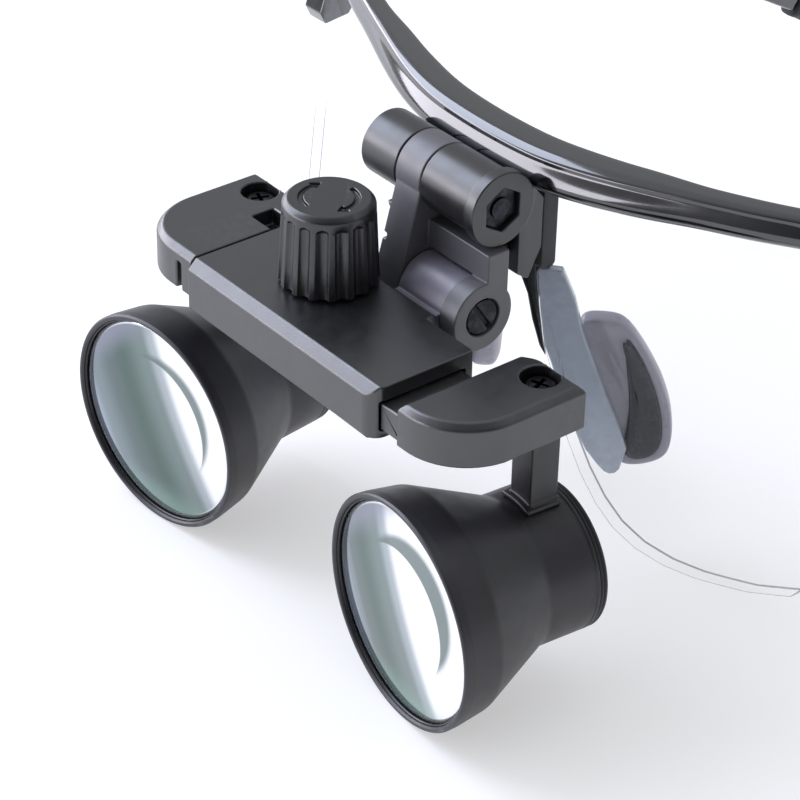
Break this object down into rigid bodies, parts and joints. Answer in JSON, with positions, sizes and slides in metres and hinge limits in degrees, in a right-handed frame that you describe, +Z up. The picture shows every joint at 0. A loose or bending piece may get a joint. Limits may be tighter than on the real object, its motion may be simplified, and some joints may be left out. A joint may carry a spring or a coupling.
{
  "type": "surgical loupes",
  "caption": "Flip-up binocular magnifier on a black wrap spectacle frame, with a geared bar that sets the spacing of its telescopes and a double hinge.",
  "frame": {"origin": "on the table, in the middle of the object's footprint, midway between the two telescopes and midway between their front rims and the temple tips", "axes": "+X along the cross beam to the side drawn as right, +Y from the telescopes back to the wearer and the temple tips, +Z up"},
  "size_m": [0.1286, 0.2076, 0.0693],
  "materials": {
    "telescope_shell": "matt black anodised, faint violet sheen",
    "coated_glass": "ground optical glass with a green coating",
    "clear_lens": "clear moulded polycarbonate",
    "lens_ring": "black anodised, threaded",
    "soft_black": "soft moulded black rubber",
    "post_black": "moulded black nylon",
    "abs_black": "fine grained moulded black plastic",
    "knob_black": "moulded black plastic, satin",
    "steel": "machine screw steel",
    "dark_steel": "blackened steel",
    "brass_gear": "cut brass",
    "frame_gloss": "polished black nylon",
    "hinge_black": "moulded black plastic, satin",
    "pad_strip": "smoky translucent plastic",
    "pad_soft": "soft smoky silicone",
    "clip_dark": "moulded dark plastic"
  },
  "bodies": {
    "frame": {"brow_bar": "frame_gloss", "lens_left": "clear_lens", "lens_right": "clear_lens", "end_block_left": "frame_gloss", "end_block_right": "frame_gloss", "temple_pin_left": "steel", "temple_pin_right": "steel", "nose_bridge": "frame_gloss", "nose_arm_left": "pad_strip", "nose_arm_right": "pad_strip", "nose_pad_left": "pad_soft", "nose_pad_right": "pad_soft", "nose_clip_left": "clip_dark", "nose_clip_right": "clip_dark", "hinge_bracket": "hinge_black", "bracket_screws": "steel", "upper_bolt": "dark_steel", "upper_nut": "dark_steel"},
    "temple_left_arm": {"temple_left": "frame_gloss", "temple_sleeve_left": "soft_black"},
    "temple_right_arm": {"temple_right": "frame_gloss", "temple_sleeve_right": "soft_black"},
    "link": {"hinge_link": "hinge_black", "lower_bolt": "dark_steel", "lower_nut": "dark_steel"},
    "beam": {"beam_housing": "abs_black", "beam_cover": "abs_black", "cover_screws": "steel", "tilt_knuckle": "hinge_black"},
    "slide_left": {"arm_left": "abs_black", "rack_left": "brass_gear"},
    "slide_right": {"arm_right": "abs_black", "rack_right": "brass_gear"},
    "knob_drive": {"knob": "knob_black", "pinion": "brass_gear"},
    "telescope_left": {"barrel_left": "telescope_shell", "objective_left": "coated_glass", "objective_ring_left": "lens_ring", "eye_lens_left": "coated_glass", "eye_clamp_left": "lens_ring", "eye_ring_left": "soft_black", "post_left": "post_black", "swivel_washer_left": "steel", "swivel_screw_left": "steel"},
    "telescope_right": {"barrel_right": "telescope_shell", "objective_right": "coated_glass", "objective_ring_right": "lens_ring", "eye_lens_right": "coated_glass", "eye_clamp_right": "lens_ring", "eye_ring_right": "soft_black", "post_right": "post_black", "swivel_washer_right": "steel", "swivel_screw_right": "steel"}
  },
  "joints": [
    {"name": "temple_left_fold", "type": "hinge", "parent": "frame", "child": "temple_left_arm", "pos_m": [-0.06163, -0.03471, 0.06876], "axis": [0, 0, 1], "range_deg": [-85, 0]},
    {"name": "temple_right_fold", "type": "hinge", "parent": "frame", "child": "temple_right_arm", "pos_m": [0.06163, -0.03471, 0.06876], "axis": [0, 0, 1], "range_deg": [0, 85]},
    {"name": "hinge_flip", "type": "hinge", "parent": "frame", "child": "link", "pos_m": [0, -0.07262, 0.05953], "axis": [-1, 0, 0], "range_deg": [0, 85]},
    {"name": "beam_tilt", "type": "hinge", "parent": "link", "child": "beam", "pos_m": [0, -0.07612, 0.04473], "axis": [-1, 0, 0], "range_deg": [-8, 10]},
    {"name": "arm_right_slide", "type": "slide", "parent": "beam", "child": "slide_right", "axis": [1, 0, 0], "range_m": [-0.0002, 0.0065]},
    {"name": "arm_left_slide", "type": "slide", "parent": "beam", "child": "slide_left", "axis": [-1, 0, 0], "range_m": [-0.0002, 0.0065]},
    {"name": "knob_turn", "type": "hinge", "parent": "beam", "child": "knob_drive", "pos_m": [-0.0052, -0.08802, 0.04653], "axis": [0, 0, 1], "range_deg": [-6, 150]},
    {"name": "telescope_left_swivel", "type": "hinge", "parent": "slide_left", "child": "telescope_left", "pos_m": [-0.03027, -0.08112, 0.03853], "axis": [0, 0, 1], "range_deg": [-4, 4]},
    {"name": "telescope_right_swivel", "type": "hinge", "parent": "slide_right", "child": "telescope_right", "pos_m": [0.03027, -0.08112, 0.03853], "axis": [0, 0, 1], "range_deg": [-4, 4]}
  ],
  "couplings": [
    {"joint": "arm_left_slide", "follows": "arm_right_slide", "ratio": 1},
    {"joint": "knob_turn", "follows": "arm_right_slide", "rad_per_m": 400}
  ]
}
